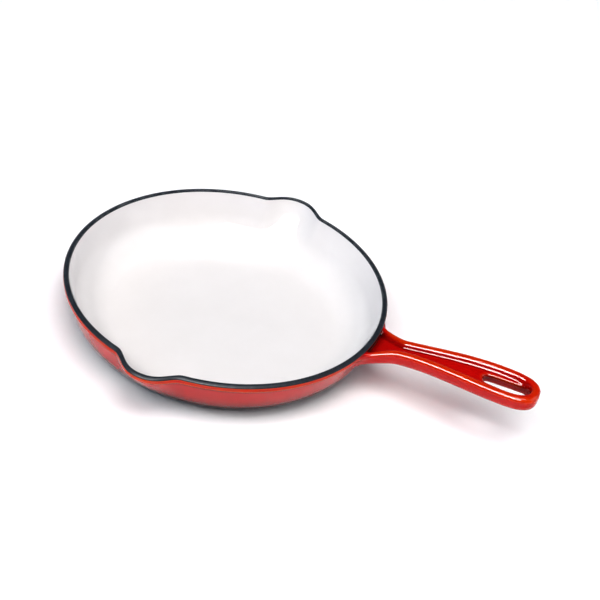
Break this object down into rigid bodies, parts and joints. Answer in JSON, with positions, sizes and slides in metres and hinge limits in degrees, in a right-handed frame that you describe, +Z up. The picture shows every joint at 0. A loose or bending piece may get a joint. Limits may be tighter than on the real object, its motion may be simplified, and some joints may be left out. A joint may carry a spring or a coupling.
{
  "type": "enamelled cast iron skillet",
  "caption": "Round shallow frying pan in enamelled cast iron, with a pour spout on each side and one long hollowed handle with a hanging slot.",
  "frame": {"origin": "middle of the base, on the plane the pan stands on", "axes": "+Z up out of the pan, +X along the handle, spouts at +Y and -Y"},
  "size_m": [0.3913, 0.2844, 0.0546],
  "materials": {
    "iron": "as cast",
    "ivory_enamel": "gloss",
    "red_enamel": "high gloss",
    "rim_enamel": "satin",
    "base_enamel": "matt"
  },
  "bodies": {
    "root": {"iron_casting": "iron", "interior_enamel": "ivory_enamel", "exterior_enamel": "red_enamel", "rim_enamel": "rim_enamel", "base_enamel": "base_enamel"}
  },
  "joints": []
}
